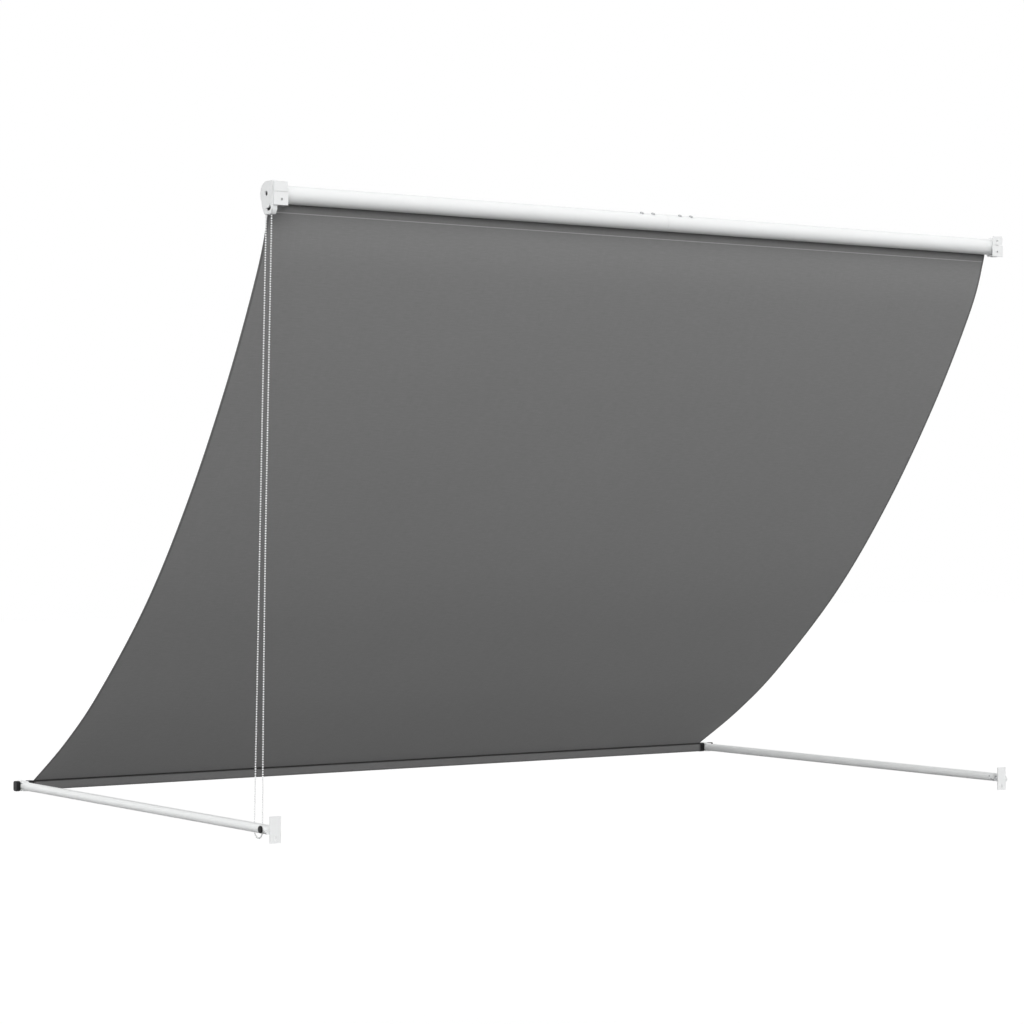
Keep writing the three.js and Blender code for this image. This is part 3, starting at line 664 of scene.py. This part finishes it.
def hem_loop(start):
    """The pocket's middle line round the front bar, from the point nearest start and back to it."""
    depth, height = HEM_DEPTH - CLOTH_THICK, HEM_HEIGHT - CLOTH_THICK
    corners = box(BAR_Y - depth / 2, BAR_Y + depth / 2, ARM_Z - height / 2, ARM_Z + height / 2)
    loop = rounded(corners, [HEM_ROUND] * len(corners), HEM_STEPS)
    first = min(range(len(loop)), key=lambda i: math.dist(loop[i], start))
    return [*loop[first:], *loop[:first + 1]]


def ripple(x, s):
    """Slight unevenness of slack cloth, gone at the roller and at the bar."""
    hold = math.sin(math.pi * min(max(s / cloth_length, 0), 1)) ** 2
    long = math.sin(x / LONG_WAVE[0] + LONG_PHASE) * math.sin(s / LONG_WAVE[1])
    short = math.sin(x / SHORT_WAVE[0] - s / SHORT_WAVE[1] + SHORT_PHASE)
    return RIPPLE * hold * (long + SHORT_WAVE_SHARE * short)


def outward(path, i):
    """The direction square to a path in (y, z); a path that ends where it starts turns without a break."""
    last = len(path) - 1
    closed = (path[0] - path[last]).length < WELD
    before = path[i - 1] if i > 0 else path[last - 1 if closed else 0]
    after = path[i + 1] if i < last else path[1 if closed else last]
    along = (after - before).normalized()
    return Vector((-along.y, along.x))


def add_sheet(bm, path, start, lift=None):
    """Canopy-wide cloth along a path in (y, z), which begins at a length start from the roller."""
    path = [Vector(point) for point in path]
    reached = [start + length for length in measured(path)]
    squares = [outward(path, i) for i in range(len(path))]
    last = len(path) - 1
    grid = bmesh.ops.create_grid(bm, x_segments=CLOTH_CELLS_ACROSS, y_segments=last, size=0.5)["verts"]
    marks = {v: (2 * CLOTH_HALF * v.co.x, round((v.co.y + 0.5) * last)) for v in grid}
    faces = linked(grid, "link_faces")
    uv = bm.loops.layers.uv[CLOTH_MAP]
    for corner in (loop for f in faces for loop in f.loops):
        x, row = marks[corner.vert]
        corner[uv].uv = ((x + CLOTH_HALF) * MM, reached[row] * MM)
    for v, (x, row) in marks.items():
        rise = CLOTH_THICK / 2 + (lift(x, reached[row]) if lift else 0.0)
        v.co = Vector((x, *(path[row] + squares[row] * rise))) * MM
    bmesh.ops.remove_doubles(bm, verts=grid, dist=WELD)
    bm.normal_update()
    bmesh.ops.solidify(bm, geom=faces, thickness=CLOTH_THICK * MM)
    return reached[last]


cloth_end = (BAR_Y - HEM_DEPTH / 2 + HEM_ROUND, ARM_Z + HEM_HEIGHT / 2 - CLOTH_THICK / 2)
hanging = cloth_line(cloth_end)
cloth_length = measured(hanging)[-1]
stations = spots_along(
    hanging, [i * cloth_length / CLOTH_CELLS_ALONG for i in range(CLOTH_CELLS_ALONG + 1)])
bm = bmesh.new()
bm.loops.layers.uv.new(CLOTH_MAP)
hem_from = add_sheet(bm, stations, 0.0, lift=ripple)
cut_length = add_sheet(bm, hem_loop(cloth_end), hem_from)
seam_at = math.radians(CLOTH_WRAP) * (ROLLER_R + CLOTH_OVER_ROLLER) + SEAM_DROP
LOOKS["cloth"] = cloth_look(2 * CLOTH_HALF * MM, seam_at * MM, hem_from * MM)
canopy = piece("canopy_cloth", bm, LOOKS["cloth"], None, ["canopy"], flat=False)
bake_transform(canopy)
cut_length * MM

# Roller: tube halves, screws over the inner coupler, strip over the cloth's end
TUBE_SIDES = 96
TUBE_EDGE = 0.35
SCREW_SEAT = 0.1
SCREW_SIDES = 32
STRIP_STEPS = 12
STRIP_EDGE = 0.35

for side, hand in SIDES:
    bm = bmesh.new()
    tube = rod_profile(ROLLER_R, TUBE_HALF - GAP / 2, TUBE_EDGE, bore=ROLLER_R - ROLLER_WALL)
    start = GAP / 2 if side > 0 else -TUBE_HALF
    add_lathe(bm, tube, (start, ROLLER_Y, 0), ALONG_SPAN, TUBE_SIDES)
    rigid(f"tube_{hand}", bm, "white_paint", "roller", [f"roller_tube_{hand}"])

screw_turn = math.radians(COUPLER_SCREW_ANGLE)
screw_out = Vector((0, math.cos(screw_turn), math.sin(screw_turn)))
screw = head_profile(SCREW_HEAD_R, SCREW_HEAD_HEIGHT, SCREW_SHANK_R, SCREW_REACH)
for i, x in enumerate(COUPLER_SCREWS, 1):
    bm = bmesh.new()
    seat = Vector((x, ROLLER_Y, 0)) + screw_out * (ROLLER_R + SCREW_SEAT)
    add_lathe(bm, screw, seat, screw_out, SCREW_SIDES)
    rigid(f"tube_screw_{i}", bm, "steel", "roller", [f"coupler_screw_{i}"])

bm = bmesh.new()
strip_low, strip_high = STRIP_ANGLES
strip = [
    *arc(ROLLER_Y, 0, STRIP_R + STRIP_THICK, strip_low, strip_high, STRIP_STEPS),
    *arc(ROLLER_Y, 0, STRIP_R, strip_high, strip_low, STRIP_STEPS),
]
strip_half = CLOTH_HALF - STRIP_SHORT
add_prism(bm, strip, -strip_half, strip_half, edge=STRIP_EDGE)
rigid("cloth_clamp_strip", bm, "aluminium", "roller", ["cloth_strip"])

# Upper brackets: two wall plates, one a step behind the other, a cheek for the roller and a foot between
TUCK = 0.2  # how far forms that run into others stay behind their faces
SINK = 1.0  # how far joined forms reach into each other
PLATES_APART = 1.2
CHEEK_ROOT = 2.2  # where the cheek begins, inside the plates
SHEET_EDGE = 0.4
PLATE_EDGE = 0.35
STEP_EDGE = 0.3
LOW_CORNERS = (0.6, 2.4, 2.4, 0.6)
HIGH_CORNERS = (0.3, 1.6, 1.6, 0.3)
CORNER_STEPS = 5
WALL_HOLE_STEPS = 24
SCREW_HOLE_STEPS = 16
AXLE_STEPS = 40
NOSE_STEPS = 48


def wall_plate(side, low, high, inset, radii):
    """An outline in (z, x) of a plate on the left or right, its lower corners first and last."""
    corners = box(low, high, side * (PLATE_INNER + inset), side * (PLATE_OUTER - inset))
    return rounded(corners[::side], radii[::side], CORNER_STEPS)


def upper_bracket(node, side, axle, cheek_holes, upper_hole):
    """A roller bracket, with one or two screw holes to the wall and its cheek's openings."""
    bm = bmesh.new()
    hole_x = side * (PLATE_INNER + WALL_HOLE_IN)
    low_hole, high_hole = (
        ring(z, hole_x, WALL_HOLE_R, WALL_HOLE_STEPS) for z in (-WALL_HOLE_Z, WALL_HOLE_Z))
    low = wall_plate(side, PLATE_BOTTOM, PLATE_STEP_Z, 0.0, LOW_CORNERS)
    add_prism(bm, low, 0, PLATE_THICK, along_y, [low_hole], edge=PLATE_EDGE)
    high = wall_plate(side, PLATE_STEP_Z + PLATES_APART, PLATE_TOP, PLATE_STEP, HIGH_CORNERS)
    high_holes = [high_hole] if upper_hole else []
    add_prism(bm, high, PLATE_STEP, PLATE_THICK - TUCK, along_y, high_holes, edge=STEP_EDGE)
    nose = arc(ROLLER_Y, 0, CHEEK_R, *CHEEK_ARC, NOSE_STEPS)
    cheek = [(CHEEK_ROOT, PLATE_BOTTOM), (FOOT_DEPTH, PLATE_BOTTOM), *nose, (CHEEK_ROOT, PLATE_TOP)]
    openings = [ring(ROLLER_Y, 0, axle, AXLE_STEPS), *cheek_holes]
    add_prism(bm, cheek, side * CHEEK_INNER, side * CHEEK_OUTER, holes=openings, edge=SHEET_EDGE)
    foot = box(SINK, FOOT_DEPTH - TUCK, PLATE_BOTTOM + TUCK, PLATE_BOTTOM + PLATE_THICK)
    add_prism(bm, foot, side * (PLATE_INNER + TUCK), side * (CHEEK_OUTER - TUCK), edge=SHEET_EDGE)
    rigid(f"{node}_shell", bm, "white_paint", "mounting", [node])


case_screw_holes = []
for angle in CASE_SCREW_ANGLES:
    (y, z), *_ = arc(ROLLER_Y, 0, CASE_SCREW_CIRCLE, angle, angle, 1)
    case_screw_holes.append(ring(y, z, CASE_SCREW_HOLE_R, SCREW_HOLE_STEPS))
upper_bracket("bracket_drive", -1, DRIVE_AXLE_R, case_screw_holes, upper_hole=False)
upper_bracket("bracket_idle", 1, IDLE_AXLE_R, [], upper_hole=True)

# Chain drive: the cover with its spindle, and dark pieces behind its hole and window that paint the shade
# inside the case
COVER_EDGE = 0.5
COVER_STEPS = 40
COVER_LIP_CORNERS = (2.0, 4.0, 3.0)
COVER_WALL_CORNERS = (1.2, 3.0)
COVER_RING = (  # radius, and height over the cover's face
    (6.5, -0.2), (6.55, 0.2), (6.7, 0.32), (7.3, 0.32), (7.45, 0.2), (7.5, -0.2), (6.5, -0.2),
)
COVER_RING_STEPS = 48
SPINDLE_EDGE = 0.3
# A black core inside the spindle's bore, painting the shade of the hollow behind the cover's hole
SHADE_CORE_R = 5.1
SHADE_CORE_LENGTH = 20.0
SHADE_CORE_BACK = 1.6  # how far the dark core's end stands back from the cover's face
SHADE_CORE_EDGE = 0.4
# A thin black sheet inside the case behind the cover's window, painting the shade of the cavity there
SHADE_SHEET = ((-19.0, -37.0), (1.5, -37.0), (1.5, -27.0), (-12.0, -24.0), (-19.0, -24.0))
SHADE_SHEET_FROM = 0.1
SHADE_SHEET_THICK = 0.3
SHADE_SHEET_EDGE = 0.1


def from_axis(points):
    """Places measured from the roller's axis, in (y, z)."""
    return [(ROLLER_Y + y, z) for y, z in points]


round_back = arc(0, 0, CASE_R, *CASE_ARC, COVER_STEPS)
lip = [(y, CASE_LIP_Z) for y in CASE_LIP]
cover_corners = from_axis([*lip, CASE_OUTER_CORNER, *round_back, *CASE_WALL_CORNERS])
cover_radii = [*COVER_LIP_CORNERS, *[0.0] * len(round_back), *COVER_WALL_CORNERS]
cover_outline = rounded(cover_corners, cover_radii, CORNER_STEPS)
cover_holes = [ring(ROLLER_Y, 0, SPINDLE_BORE_R, COVER_STEPS), from_axis(COVER_WINDOW)]
spindle_length = PLUG_LENGTH - TUBE_HALF - COVER_INNER

bm = bmesh.new()
add_prism(bm, cover_outline, COVER_INNER, COVER_OUTER, holes=cover_holes, edge=COVER_EDGE, segments=3)
spindle = rod_profile(SPINDLE_R, spindle_length, SPINDLE_EDGE, bore=SPINDLE_BORE_R)
add_lathe(bm, spindle, (COVER_INNER, ROLLER_Y, 0), ALONG_SPAN, COVER_STEPS)
add_lathe(bm, COVER_RING, (COVER_OUTER, ROLLER_Y, 0), -Vector(ALONG_SPAN), COVER_RING_STEPS)
rigid("drive_cover_shell", bm, "white_plastic", "mounting", ["drive_cover"])

# Painted shade: a black core in the spindle's bore
bm = bmesh.new()
shade_core = rod_profile(SHADE_CORE_R, SHADE_CORE_LENGTH, SHADE_CORE_EDGE)
add_lathe(bm, shade_core, (COVER_OUTER + SHADE_CORE_BACK, ROLLER_Y, 0), ALONG_SPAN, COVER_STEPS)
rigid("spindle_shade_core", bm, "black_plastic", "mounting")

# Painted shade: a dark sheet behind the window
bm = bmesh.new()
shade_sheet_start = COVER_INNER + SHADE_SHEET_FROM
add_prism(bm, from_axis(SHADE_SHEET), shade_sheet_start, shade_sheet_start + SHADE_SHEET_THICK, edge=SHADE_SHEET_EDGE)
rigid("case_shade_sheet", bm, "black_plastic", "mounting")

# Arm tubes
ARM_EDGE = 0.4
ARM_SIDES = 64

arm_length = BAR_Y + ARM_BEYOND_BAR - ARM_START - GAP
for side, hand in SIDES:
    bm = bmesh.new()
    arm = rod_profile(ARM_R, arm_length, ARM_EDGE, bore=ARM_R - ARM_WALL)
    add_lathe(bm, arm, (side * ARM_X, ARM_START + GAP, ARM_Z), OUTWARD, ARM_SIDES)
    rigid(f"arm_tube_{hand}", bm, "white_paint", "arm_frame", [f"arm_{hand}"])

# Nodes whose form is right get softer edges, each rounded by its own radius
SLOTS = {row["node"]: row["material_slot"] for row in frame["record"]["subparts"]}
BODIES = {node: body for body, nodes in frame["record"]["behaviour"]["bodies"].items() for node in nodes}
SINGLE_EDGES = {"drive_housing": 0.4, "idle_pin": 0.5, "front_bar": 0.2}
PAIRED_EDGES = {
    "arm_bracket_{}": 0.5,
    "pivot_bolt_{}": 0.4,
    "pivot_knob_{}": 0.4,
    "arm_fitting_{}": 0.4,
    "arm_tip_{}": 0.35,
    "arm_rivet_{}_1": 0.25,
    "arm_rivet_{}_2": 0.25,
    "bar_plug_{}": 0.6,
    "bar_cap_{}": 1.2,
}
SOFTENED_SHARP = 0.6  # radians past which a node's edge is rounded
FLAT_ANGLE = 0.02  # radians within which its triangles are one face


def soften(node, edge):
    """A finer piece in a CAD node's place: the same form with its sharp edges rounded."""
    bm = bmesh.new()
    bm.from_mesh(frame["nodes"][node].data)
    bmesh.ops.remove_doubles(bm, verts=bm.verts, dist=WELD)
    bmesh.ops.dissolve_limit(bm, angle_limit=FLAT_ANGLE, verts=bm.verts, edges=bm.edges)
    sharp = [e for e in bm.edges if e.is_manifold and e.calc_face_angle() > SOFTENED_SHARP]
    round_edges(bm, sharp, edge)
    bmesh.ops.recalc_face_normals(bm, faces=bm.faces)
    rigid(f"{node}_finish", bm, SLOTS[node], BODIES[node], [node])


for node, edge in SINGLE_EDGES.items():
    soften(node, edge)
for _, hand in SIDES:
    for node, edge in PAIRED_EDGES.items():
        soften(node.format(hand), edge)

# Nodes that show as the CAD model made them
for name, node in frame["nodes"].items():
    node.data.materials.clear()
    node.data.materials.append(LOOKS[SLOTS[name]])

# Floor: pale and lit where it is looked at, dim where it only throws light back
FLOOR_Z = -2.4
FLOOR_HALF = 40.0
FLOOR_DIM = 0.17
FLOOR_PALE = 0.6
FLOOR_GLOW = 0.53


def grey(level):
    return (level, level, level, 1)


floor_mesh = bpy.data.meshes.new("floor")
bm = bmesh.new()
level = Matrix.Translation((0, 0, FLOOR_Z))
bmesh.ops.create_grid(bm, x_segments=1, y_segments=1, size=FLOOR_HALF, matrix=level)
bm.to_mesh(floor_mesh)
bm.free()
floor = bpy.data.objects.new("floor", floor_mesh)
scene.collection.objects.link(floor)
ground = Look("floor")
dim = ground.node("ShaderNodeBsdfDiffuse", Color=grey(FLOOR_DIM))
pale = ground.node("ShaderNodeBsdfDiffuse", Color=grey(FLOOR_PALE))
glow = ground.node("ShaderNodeEmission", Color=grey(1), Strength=FLOOR_GLOW)
white = ground.node("ShaderNodeAddShader", **{"0": pale, "1": glow})
shown = ground.node("ShaderNodeMixShader", **{"0": ground.looked_at(), "1": dim, "2": white})
floor_mesh.materials.append(ground.end(shown))

# Surroundings: white to look at, and as a light brighter near the horizon than overhead
SKY_BAND = (0.15, 0.45)  # sines of the heights between which the light falls off
SKY_LOW = 1.93
SKY_HIGH = 0.54

world = bpy.data.worlds.new("world")
scene.world = world
sky = Look("world", world)
up = sky.node("ShaderNodeSeparateXYZ", out="Z", Vector=sky.node("ShaderNodeTexCoord"))
dome = sky.node("ShaderNodeMapRange", {"interpolation_type": "SMOOTHSTEP"}, Value=up, From_Min=SKY_BAND[0],
                From_Max=SKY_BAND[1], To_Min=SKY_LOW, To_Max=SKY_HIGH)
seen = sky.looked_at()
strength = seen + (1.0 - seen) * dome
background = sky.node("ShaderNodeBackground", Color=grey(1), Strength=strength)
sky.end(background, "ShaderNodeOutputWorld")

# Key light from behind the camera, wide and soft
KEY_LEVEL = 0.36  # what a white surface that faces it sends back
KEY_WIDTH = math.radians(40)
KEY_FALL = math.radians(25)
KEY_HEADING = (0.56, 0.82)

key_data = bpy.data.lights.new("key", "SUN")
key_data.energy = KEY_LEVEL * math.pi
key_data.angle = KEY_WIDTH
key = bpy.data.objects.new("key", key_data)
key.rotation_euler = Vector((*KEY_HEADING, -math.tan(KEY_FALL))).to_track_quat("-Z", "Y").to_euler()
scene.collection.objects.link(key)
